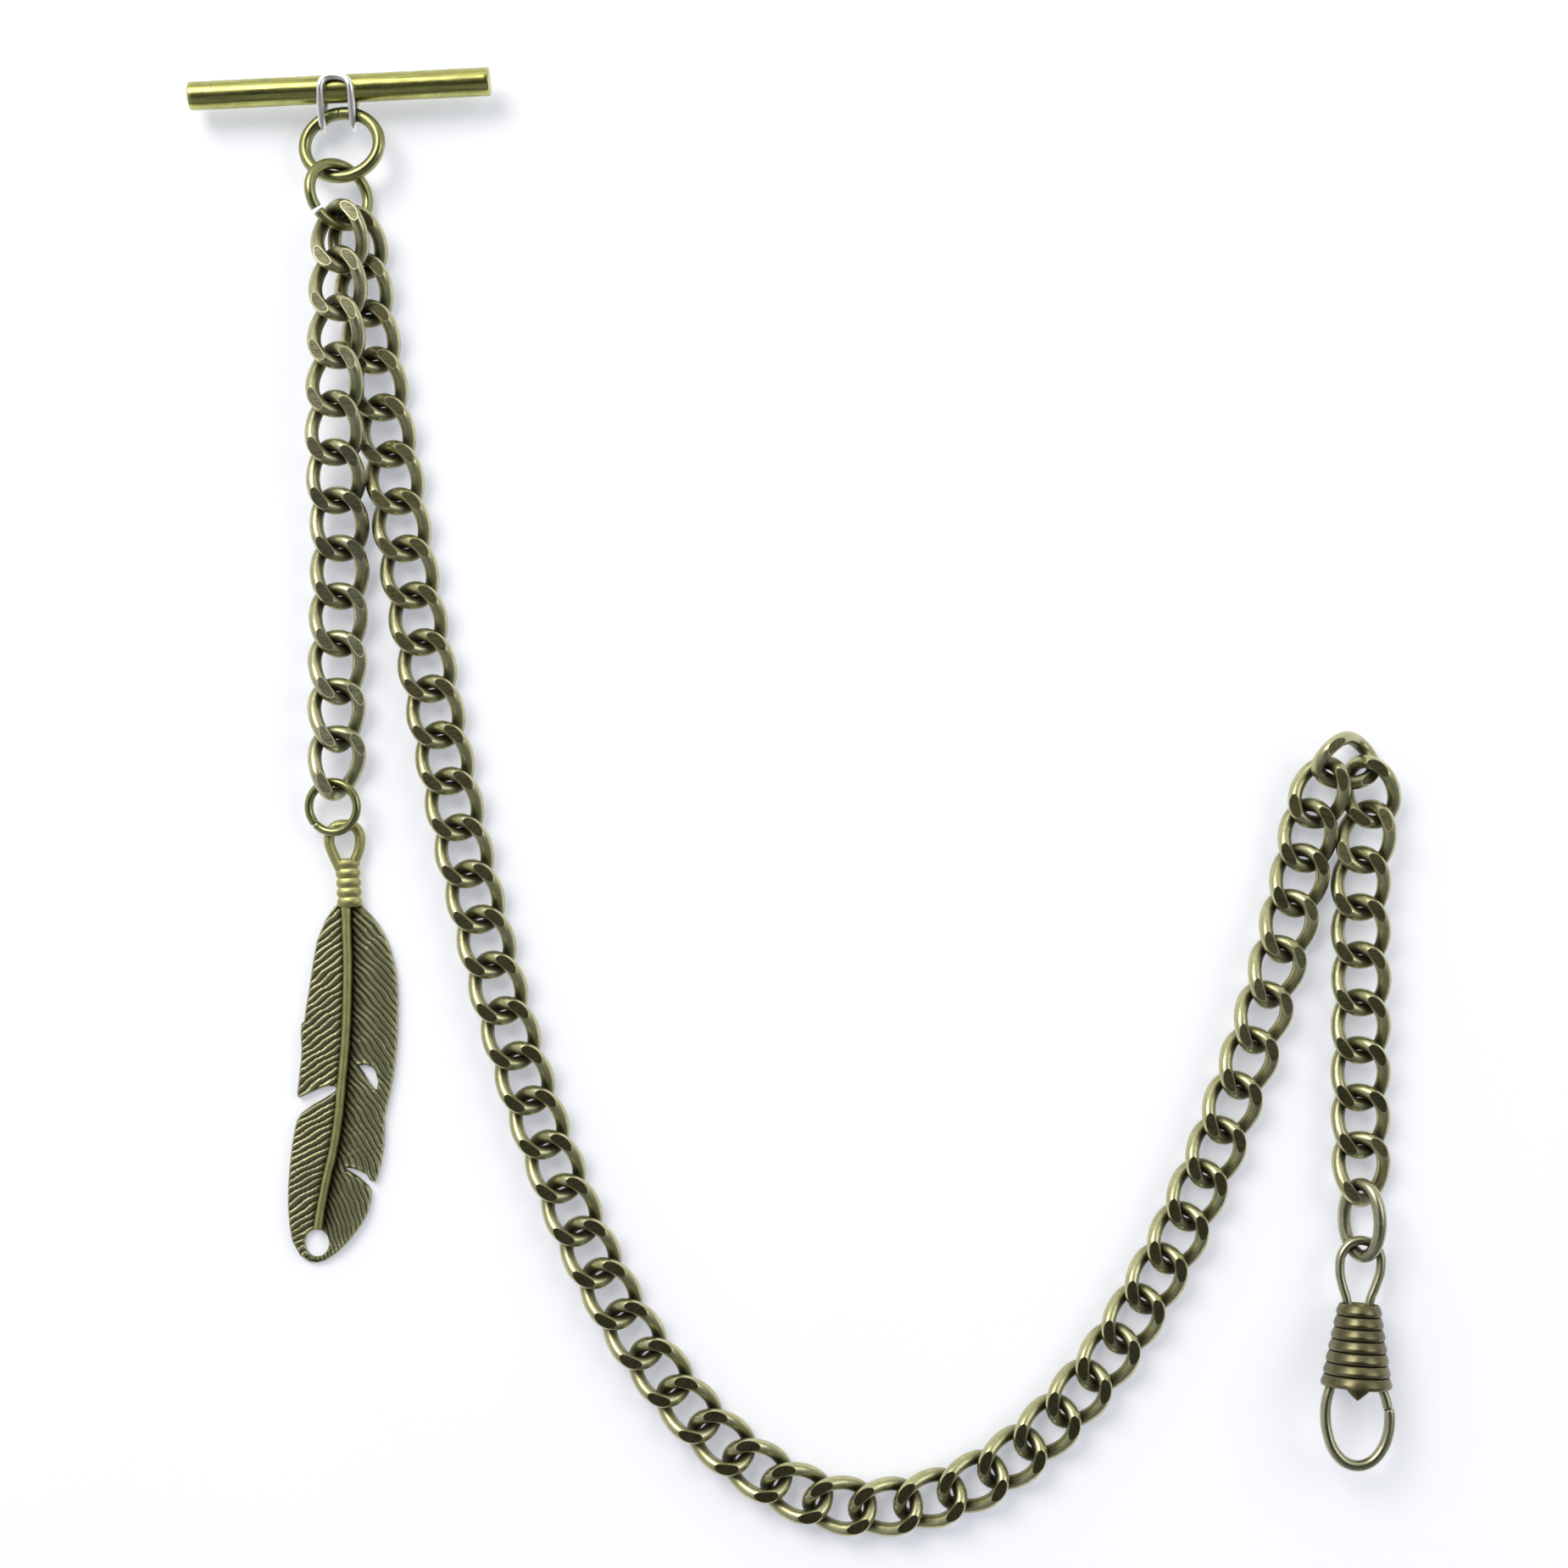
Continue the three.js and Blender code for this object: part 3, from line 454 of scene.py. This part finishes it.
h = BAR_LENGTH / 2
prof = [(-h, 0.6), (-h, BAR_R - 0.28), (-h, BAR_R - 0.16), (-h + 0.05, BAR_R - 0.05), (-h + 0.14, BAR_R)]
xs = np.linspace(-h + 0.6, h - 0.6, 60)
prof += [(x, BAR_R - 0.012 * math.sin(x * 0.9) ** 2) for x in xs]
prof += [(-x, r) for x, r in prof[:5][::-1]]
V, F = lathe_x(prof, 72)
bar = obj_from("t_bar_look", V * MM, F)
bar.data.materials.append(bar_metal)
bar.matrix_world = pose_matrix((*BAR_AT, 0, 0, BAR_TURN))
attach(bar, "bar"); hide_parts("t_bar")

BAIL = [
    (-2.05, 0.15, -2.12), (-2.05, -1.4, -2.42), (-2.05, -3.12, -2.55), (-2.05, -4.22, -2.15), (-2.05, -4.64, -1.2),
    (-2.05, -4.22, -0.1), (-2.05, -3.32, 0.7), (-2.05, -2.22, 1.35), (-2, -0.9, 1.93), (-1.9, 0, 2.12),
    (-1.45, 0.72, 2), (-0.25, 1.02, 1.87), (0.95, 0.72, 2), (1.45, 0, 2.12),
    (1.6, -0.9, 1.93), (1.6, -2.22, 1.35), (1.6, -3.22, 0.8), (1.6, -4.07, 0.15), (1.6, -4.42, -0.8),
    (1.6, -3.97, -1.75), (1.6, -2.82, -2.3), (1.6, -1.3, -2.35), (1.6, 0.15, -2.12)]
V, F = tube(spline(BAIL, 170), 0.43, 22, round_ends=0.6)
bail = obj_from("t_bar_bail_look", V * MM, F)
bail.data.materials.append(silver)
bail.matrix_world = pose_matrix((*BAR_AT, 0, 0, 0))
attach(bail, "bar"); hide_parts("t_bar_bail")

# ------------------------------------------------------------------ feather
OUTLINE = [
    (-50.15, -14.1), (-50.03, -14.58), (-49.07, -15.54), (-48.21, -16.6), (-47.49, -17.83), (-46.87, -19.17), (-46.39, -20.85),
    (-46.11, -22.1), (-45.92, -23.6), (-45.83, -25.6), (-45.83, -27.64), (-45.88, -29.68), (-45.98, -31.2), (-46.18, -33.26),
    (-46.44, -34.99), (-46.8, -36.87), (-47.18, -38.55), (-47.41, -39.62), (-47.41, -41.46), (-47.5, -43.14), (-47.8, -44.82),
    (-48.1, -46.2), (-48.48, -47.27), (-48.85, -47.2), (-49.25, -46.97), (-49.55, -46.35), (-50.32, -45.97), (-51.16, -45.67),
    (-51.95, -45.59), (-52, -45.82), (-51.24, -46.19), (-50.32, -46.78), (-49.4, -47.66), (-48.97, -48.34), (-49.05, -49.57),
    (-49.4, -50.94), (-50.1, -52.25), (-50.93, -53.4), (-51.85, -54.54), (-53.07, -55.69), (-54.45, -56.6), (-55.45, -56.9),
    (-56.44, -56.76), (-57.51, -56), (-58.43, -54.3), (-58.73, -52.47), (-58.92, -50.3), (-58.9, -47.7), (-58.73, -45.6),
    (-58.46, -43), (-58.12, -41), (-57.9, -40.08), (-57.36, -39.09), (-55.98, -38.1), (-54.45, -37.25), (-53.4, -36.55),
    (-53.2, -36.25), (-53.3, -35.96), (-54.14, -35.9), (-55.3, -36.25), (-56.3, -36.75), (-57.4, -37.26), (-57.74, -37.15),
    (-57.82, -36.6), (-57.7, -35.8), (-57.56, -34.28), (-57.36, -32.74), (-57.31, -31.3), (-57.41, -29.68), (-57.31, -28.45),
    (-56.98, -28.15), (-56.8, -26.6), (-56.59, -25.4), (-56.34, -23.87), (-56.08, -22.03), (-55.88, -20.8), (-55.72, -19.94),
    (-55.48, -18.6), (-55, -17.45), (-54.43, -16.1), (-53.76, -15.06), (-53.05, -14.2),
]
WINDOW = [
    (-49.91, -34.28), (-49.2, -35.5), (-48.68, -36.2), (-48.33, -36.32), (-48.22, -35.3), (-48.48, -34.28), (-48.89, -33.66),
    (-49.7, -33.38), (-50.52, -33.51),
]
QUILL = [
    (-51.94, -14.2), (-51.84, -18), (-51.74, -20.8), (-51.8, -25.6), (-51.9, -28.66), (-52.1, -31.7), (-52.39, -34.79),
    (-52.84, -39.6), (-53.61, -44.2), (-54, -45.74), (-54.91, -50.33), (-55.26, -52.7),
]
HOLE = (-55.48, -54.54, 1.42, 1.6)


def inside(poly, P):
    poly = np.array(poly); c = np.zeros(len(P), bool); n = len(poly)
    for i in range(n):
        a, b = poly[i], poly[(i + 1) % n]
        cond = (a[1] > P[:, 1]) != (b[1] > P[:, 1])
        with np.errstate(divide="ignore", invalid="ignore"):
            x = (b[0] - a[0]) * (P[:, 1] - a[1]) / (b[1] - a[1]) + a[0]
        c ^= cond & (P[:, 0] < x)
    return c


def edge_dist(poly, P):
    poly = np.array(poly); d = np.full(len(P), 1e9); n = len(poly)
    for i in range(n):
        a, b = poly[i], poly[(i + 1) % n]; ab = b - a
        t = np.clip(((P - a) @ ab) / (ab @ ab), 0, 1)
        d = np.minimum(d, np.linalg.norm(P - (a + t[:, None] * ab), axis=1))
    return d


def resample(poly, step, closed=True):
    p = np.array(poly, float)
    if closed: p = np.vstack([p, p[:1]])
    s = np.concatenate([[0], np.cumsum(np.linalg.norm(np.diff(p, axis=0), axis=1))])
    n = max(8, int(round(s[-1] / step)))
    w = np.linspace(0, s[-1], n, endpoint=not closed)
    return np.stack([np.interp(w, s, p[:, 0]), np.interp(w, s, p[:, 1])], 1)


smooth = lambda x, a, b: (lambda t: t * t * (3 - 2 * t))(np.clip((x - a) / (b - a), 0, 1))
q = spline([(*p, 0) for p in QUILL], 400)[:, :2]
qs = np.concatenate([[0], np.cumsum(np.linalg.norm(np.diff(q, axis=0), axis=1))])
# the quill's line carries on past its end, for the barbs round the hole
tail = q[-1] + (q[-1] - q[-12]) / np.linalg.norm(q[-1] - q[-12]) * np.linspace(0.1, 6, 40)[:, None]
ql = np.vstack([q, tail]); qls = np.concatenate([qs, qs[-1] + np.linspace(0.1, 6, 40)])


def feather_coords(P):
    s = np.zeros(len(P)); t = np.zeros(len(P))
    for i0 in range(0, len(P), 4000):
        blk = P[i0:i0 + 4000]
        d = np.linalg.norm(blk[:, None, :] - ql[None, :, :], axis=2); k = d.argmin(1)
        s[i0:i0 + 4000] = qls[k]
        k2 = np.clip(k, 1, len(ql) - 2); tan = ql[k2 + 1] - ql[k2 - 1]; tan /= np.linalg.norm(tan, axis=1)[:, None]
        off = blk - ql[k]
        t[i0:i0 + 4000] = tan[:, 1] * off[:, 0] * -1 + tan[:, 0] * off[:, 1]
    return s, t          # t > 0 on the right of the quill, seen with the neck up


def vane_height(P):
    s, t = feather_coords(P)
    a = np.abs(t); right = t > 0
    f = s / 42.0
    slope_r = 0.86 + 0.10 * f + 0.75 * smooth(f, 0.72, 1.05)
    slope_l = 0.66 + 0.05 * f
    sl = np.where(right, slope_r, slope_l)
    bend = np.where(right, 0.035 + 0.03 * f, 0.045)
    wob = 0.12 * np.sin(s * 0.9 + np.where(right, 0.0, 2.0)) + 0.08 * np.sin(s * 2.3 + a * 0.7)
    per = np.where(right, 0.98, 0.95)
    ph = (s - sl * a - bend * a * a * 0.5 + wob) / per
    fr = ph - np.floor(ph)
    ridge = np.sin(np.pi * fr) ** 0.75
    num = np.floor(ph); rnd = np.abs(np.sin(num * 12.9898 + np.where(right, 1.7, 0.0)) * 43758.5453) % 1.0
    d = np.minimum(edge_dist(OUTLINE, P), edge_dist(WINDOW, P))
    hd = np.abs(np.sqrt(((P[:, 0] - HOLE[0]) / HOLE[2]) ** 2 + ((P[:, 1] - HOLE[1]) / HOLE[3]) ** 2) - 1) * 1.5
    d = np.minimum(d, hd)
    # the barbs stand up in rounded ridges, highest at the rim, with a hollow beside the quill
    base = 0.50 + 0.36 * smooth(a, 0.3, 4.0)
    amp = (0.20 + 0.07 * rnd) * (0.35 + 0.65 * smooth(a, 0.3, 1.5)) * (1 - 0.25 * smooth(f, 0.0, 0.08))
    hgt = base + amp * (ridge - 0.4) + 0.05 * np.exp(-((d - 0.25) / 0.2) ** 2)
    hgt *= 0.55 + 0.45 * smooth(d, -0.02, 0.22)
    # crests partly worn bright and partly painted highlight, most at the rim; painted shade between them and beside the
    # quill, more so on its right; the very edge lighter as wear and painted highlight
    # painted shade beside the quill: the colour is darkened within about 2.4 mm on its right and 1.3 mm on its left
    quill_side_shade = np.where(right, smooth(a, 0.55, 2.4), 0.35 + 0.65 * smooth(a, 0.5, 1.3))
    rim = 1 - smooth(d, 0.1, 1.6)
    wear_and_painted_light = (0.10 + 0.46 * ridge ** 1.3 + (0.10 + 0.30 * rim) * smooth(ridge, 0.55, 1.0) * (0.5 + rnd)) * (0.25 + 0.75 * quill_side_shade)
    wear_and_painted_light = np.maximum(wear_and_painted_light, 0.75 * (1 - smooth(d, 0.02, 0.14)))
    return hgt, np.clip(wear_and_painted_light, 0, 1)


STEP = 0.10
ring_out = resample(OUTLINE, STEP); ring_win = resample(WINDOW, STEP)
tt = np.linspace(0, 2 * np.pi, 64, endpoint=False)
ring_hole = np.stack([HOLE[0] + HOLE[2] * np.cos(tt), HOLE[1] + HOLE[3] * np.sin(tt)], 1)
lo2, hi2 = ring_out.min(0), ring_out.max(0)
gx, gy = np.meshgrid(np.arange(lo2[0], hi2[0], STEP), np.arange(lo2[1], hi2[1], STEP))
gx = gx + (np.arange(gx.shape[0]) % 2)[:, None] * STEP / 2
G = np.stack([gx.ravel(), gy.ravel()], 1)
G = G[inside(OUTLINE, G) & ~inside(WINDOW, G) & ~inside(ring_hole, G)]
dd = np.minimum(np.minimum(edge_dist(OUTLINE, G), edge_dist(WINDOW, G)), edge_dist(ring_hole, G))
G = G[dd > STEP * 0.55]
pts, edges = [], []
for ring in (ring_out, ring_win, ring_hole):
    b0 = len(pts); pts += [tuple(p) for p in ring]
    edges += [(b0 + i, b0 + (i + 1) % len(ring)) for i in range(len(ring))]
pts += [tuple(p) for p in G]
res = geometry.delaunay_2d_cdt([Vector(p) for p in pts], edges, [], 0, 1e-5)
P2 = np.array([tuple(v) for v in res[0]]); tri = np.array([f for f in res[2] if len(f) == 3])
cen = P2[tri].mean(1)
tri = tri[inside(ring_out, cen) & ~inside(ring_win, cen) & ~inside(ring_hole, cen)]
used = np.unique(tri); remap = -np.ones(len(P2), int); remap[used] = np.arange(len(used)); P2 = P2[used]; tri = remap[tri]
area = np.cross(P2[tri[:, 1]] - P2[tri[:, 0]], P2[tri[:, 2]] - P2[tri[:, 0]])
tri[area < 0] = tri[area < 0][:, ::-1]
HGT, WEAR_AND_PAINTED_LIGHT = vane_height(P2)
top = np.c_[P2, HGT]; bot = np.c_[P2, np.full(len(P2), 0.02)]
# a bare flat back
nv = len(P2)
ecount = {}
for t3 in tri:
    for a, b in ((t3[0], t3[1]), (t3[1], t3[2]), (t3[2], t3[0])): ecount[(a, b)] = ecount.get((a, b), 0) + 1
F = [tuple(t3) for t3 in tri] + [tuple(int(x) + nv for x in t3[::-1]) for t3 in tri]
for (a, b) in list(ecount):
    if (b, a) not in ecount: F.append((int(b), int(a), int(a) + nv, int(b) + nv))
FS = np.array([SHIFT[0], SHIFT[1], SHIFT[2]])
vane = obj_from("feather_vane", (np.vstack([top, bot]) + FS) * MM, [tuple(int(x) for x in f) for f in F])
at = vane.data.attributes.new("wear_and_painted_light", "FLOAT", "POINT")
at.data.foreach_set("value", np.concatenate([WEAR_AND_PAINTED_LIGHT, np.full(nv, 0.42)]).astype(np.float32))
vane.data.materials.append(feather_metal)
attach(vane, "feather"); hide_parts("feather")

qz = spline([(*p, 0) for p in QUILL], 150)
qz[:, 2] = 0.98
s_ = np.linspace(0, 1, 150)
qr = 0.56 - 0.06 * s_ + 0.012 * np.sin(s_ * 90) + 0.05 * smooth(s_, 0.94, 0.96)
V, F = tube(qz, qr, 20, cut_ends=0.08)
quill = obj_from("feather_quill", (V + FS) * MM, F)
quill.data.materials.append(quill_metal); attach(quill, "feather")

# the neck: five wraps of wire, flattened
prof = []
for k in range(5):
    for j in range(9):
        u = j / 8; prof.append((k * 1.13 + u * 1.13, 1.22 + 0.27 * math.sin(math.pi * u) ** 0.7))
prof = [(-0.12, 0.5), (-0.1, 1.0)] + prof + [(5.72, 0.95), (5.75, 0.4)]
V, F = lathe_x(prof, 48)
V = np.stack([V[:, 1], V[:, 0], V[:, 2] * 0.62], 1)
a_ = math.radians(3.2); V = np.stack([V[:, 0] * math.cos(a_) - V[:, 1] * math.sin(a_), V[:, 0] * math.sin(a_) + V[:, 1] * math.cos(a_), V[:, 2]], 1)
V += np.array([-51.46, -14.55, 0.94])
neck = obj_from("feather_neck", (V + FS) * MM, F)
neck.data.materials.append(quill_metal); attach(neck, "feather")

EYE = [(399, 1026), (394, 1016), (389.4, 1006), (386.2, 996), (386.2, 986), (390, 977.6), (396.8, 973.8), (404, 973.2), (411.5, 974), (418.4, 978.2), (422, 986), (422.3, 996), (420.6, 1005), (416.5, 1015), (412, 1026)]
pth = spline([((x - 925) * 0.1, (925 - y) * 0.1, 0.95) for x, y in EYE], 110)
V, F = tube(pth, 0.62, 24, round_ends=0.5)
eye = obj_from("feather_eye", (V + FS) * MM, F)
eye.data.materials.append(quill_metal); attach(eye, "feather")

# ------------------------------------------------------------------ clasp
CLASP_BASE = (67.1, -71.0, 4.13)
WIRE = [
    (1.75, 5.4, 0.53), (1.75, 9.0, 0.53), (1.9, 10.3, 0.54), (2.55, 11.9, 0.55), (3.15, 13.6, 0.56), (3.2, 15.5, 0.56), (2.35, 16.8, 0.56),
    (0.9, 17.25, 0.56), (-0.45, 16.8, 0.56), (-1.4, 15.5, 0.56), (-1.6, 13.6, 0.56), (-1.3, 11.9, 0.55), (-0.85, 10.3, 0.54), (-0.75, 9.0, 0.53),
    (-1.15, 6.5, 0.53), (-2.1, 3.2, 0.57), (-2.85, 0.6, 0.6), (-3.42, -1.2, 0.63), (-3.62, -2.9, 0.64), (-3.45, -4.9, 0.65), (-2.75, -7.0, 0.66),
    (-1.4, -8.45, 0.66), (0.15, -8.85, 0.66), (1.75, -8.3, 0.66), (3.05, -6.8, 0.66), (3.75, -4.9, 0.65), (3.92, -3.2, 0.64), (3.86, -2.45, 0.63)]
GATE = [(1.55, 3.3, 0.5), (2.2, 1.6, 0.52), (2.95, 0.2, 0.55), (3.45, -1.0, 0.58), (3.72, -2.1, 0.6)]


def clasp_wire(name, pts, n, body, node, ends):
    sp = spline([(x, y, 0, r) for x, y, r in pts], n)
    V, F = tube(sp[:, :3], sp[:, 3], 26, cut_ends=ends)
    o = obj_from(name, V * MM, F)
    o.data.materials.append(clasp_metal)
    o.matrix_world = pose_matrix((*CLASP_BASE, -5.0, 0, 0))
    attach(o, body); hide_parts(node)
    return o


clasp_wire("clasp_wire_look", WIRE, 260, "clasp_hook", "clasp_wire", 0.12)
clasp_wire("clasp_gate_look", GATE, 50, "clasp_gate", "clasp_gate", 0.12)

# sleeve: seven rolled bands, each a little wider than the one above, open at both ends, with a small pointed tab at the front
H, RT, RB, WALL, NB = 9.6, 2.62, 4.1, 0.38, 7
outer = []
for k in range(NB):
    y0, y1 = H * k / NB, H * (k + 1) / NB
    r = RB + (RT - RB) * k / (NB - 1)
    for u, dr in ((0.0, -0.26), (0.03, -0.14), (0.08, -0.05), (0.16, 0.01), (0.3, 0.04), (0.42, 0.02), (0.52, -0.03), (0.64, -0.1), (0.78, -0.18), (0.9, -0.26), (0.985, -0.34)):
        outer.append((y0 + (y1 - y0) * u, r + dr))
outer.append((H + 0.0, RT - 0.36))
inner = [(H - 0.02, RT - WALL - 0.06), (H * 0.66, RT - WALL + (RB - RT) * 0.34), (H * 0.33, RT - WALL + (RB - RT) * 0.67), (0.02, RB - WALL - 0.02)]
prof = outer + inner
seg = 112
a = np.linspace(0, 2 * np.pi, seg, endpoint=False)
V, F = [], []
tab_at, tab_half = math.radians(100), math.radians(19)
for i, (y, r) in enumerate(prof):
    for t in a:
        yy = y
        lowness = max(0.0, 1 - y / 0.9) if y < 0.9 else 0.0
        dphi = abs((t - tab_at + math.pi) % (2 * math.pi) - math.pi)
        if dphi < tab_half:
            yy -= 1.15 * lowness * (1 - dphi / tab_half) ** 0.85
        yy += 0.03 * lowness * math.sin(3 * t + 1)
        V.append((r * math.cos(t), yy, r * math.sin(t)))
m_ = len(prof)
for i in range(m_):
    j = (i + 1) % m_
    for k in range(seg):
        l = (k + 1) % seg
        F.append((i * seg + k, i * seg + l, j * seg + l, j * seg + k))
sleeve = obj_from("clasp_sleeve_look", np.array(V) * MM, F)
sleeve.data.materials.append(sleeve_metal)
sleeve.matrix_world = pose_matrix((CLASP_BASE[0] + 0.05, CLASP_BASE[1] + 0.25, CLASP_BASE[2], -5.0, 0, -3.3))
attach(sleeve, "clasp_sleeve"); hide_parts("clasp_sleeve")

# ------------------------------------------------------------------ floor, light, camera
bm = bmesh.new()
bmesh.ops.create_grid(bm, x_segments=8, y_segments=8, size=3.0)
me = bpy.data.meshes.new("floor"); bm.to_mesh(me); bm.free()
floor = bpy.data.objects.new("floor", me); scene.collection.objects.link(floor)
floor.location = (0, 0, -0.00021)
m, nt = mat_new("floor_white"); g = NT(nt)
tc = g.node("ShaderNodeTexCoord")
n1 = g.noise(tc.outputs["Object"], 40, 3)
col = g.mix(n1, (0.93, 0.93, 0.95), (0.95, 0.95, 0.96))
b = g.node("ShaderNodeBsdfPrincipled"); g.l.new(col, b.inputs["Base Color"]); b.inputs["Roughness"].default_value = 0.9
b.inputs["Specular IOR Level"].default_value = 0.1
b.inputs["Emission Color"].default_value = (0.86, 0.89, 1.0, 1); b.inputs["Emission Strength"].default_value = 0.36
o = g.node("ShaderNodeOutputMaterial"); g.l.new(b.outputs[0], o.inputs[0])
me.materials.append(m)

world = bpy.data.worlds.new("studio"); scene.world = world; world.use_nodes = True
nt = world.node_tree; nt.nodes.clear(); g = NT(nt)
tc = g.node("ShaderNodeTexCoord"); sep = g.node("ShaderNodeSeparateXYZ"); g.l.new(tc.outputs["Generated"], sep.inputs[0])
X, Y, Z = sep.outputs
ringv = g.grey(g.math("MULTIPLY_ADD", Z, 0.5, 0.5), [(0.0, 0.55), (0.5, 0.6), (0.58, 0.75), (0.7, 1.0), (0.86, 0.95), (0.93, 0.32), (0.975, 0.09), (1.0, 0.06)])
side = g.math("ADD", 0.92, g.math("ADD", g.math("MULTIPLY", Y, 0.62), g.math("MULTIPLY", X, -0.22)))
val = g.math("MULTIPLY", ringv, side)
colr = g.mix(g.math("MULTIPLY_ADD", Y, 0.5, 0.5), (0.86, 0.9, 1.0), (1.0, 0.99, 0.95))
colr = g.mix(1.0, colr, (1, 1, 1), "MULTIPLY")
bg = g.node("ShaderNodeBackground"); g.l.new(colr, bg.inputs[0]); g.l.new(g.math("MULTIPLY", val, 0.66), bg.inputs[1])
o = g.node("ShaderNodeOutputWorld"); g.l.new(bg.outputs[0], o.inputs[0])


def area(name, loc, target, size, power, colour):
    l = bpy.data.lights.new(name, "AREA"); l.shape = "DISK"; l.size = size; l.energy = power; l.color = colour
    o = bpy.data.objects.new(name, l); scene.collection.objects.link(o)
    o.location = loc
    o.rotation_euler = (Vector(target) - Vector(loc)).to_track_quat("-Z", "Y").to_euler()
    return o


area("key", (-0.35, 0.45, 0.6), (0, 0, 0), 0.5, 3.0, (1.0, 0.985, 0.95))
area("fill", (0.55, 0.15, 0.5), (0, 0, 0), 0.5, 0.9, (0.92, 0.95, 1.0))

cam = bpy.data.cameras.new("camera"); co = bpy.data.objects.new("camera", cam); scene.collection.objects.link(co)
cam.lens = 60; cam.sensor_width = 36; cam.sensor_fit = "AUTO"; cam.dof.use_dof = False
cam.clip_start = 0.01; cam.clip_end = 20
co.location = (SHIFT[0] * MM, SHIFT[1] * MM, 0.0025 + 0.185 * 60 / 36)
co.rotation_euler = (0, 0, 0)
scene.camera = co
scene.view_settings.view_transform = "Standard"
scene.view_settings.look = "None"
scene.view_settings.exposure = 0.0
scene.view_settings.gamma = 1.0
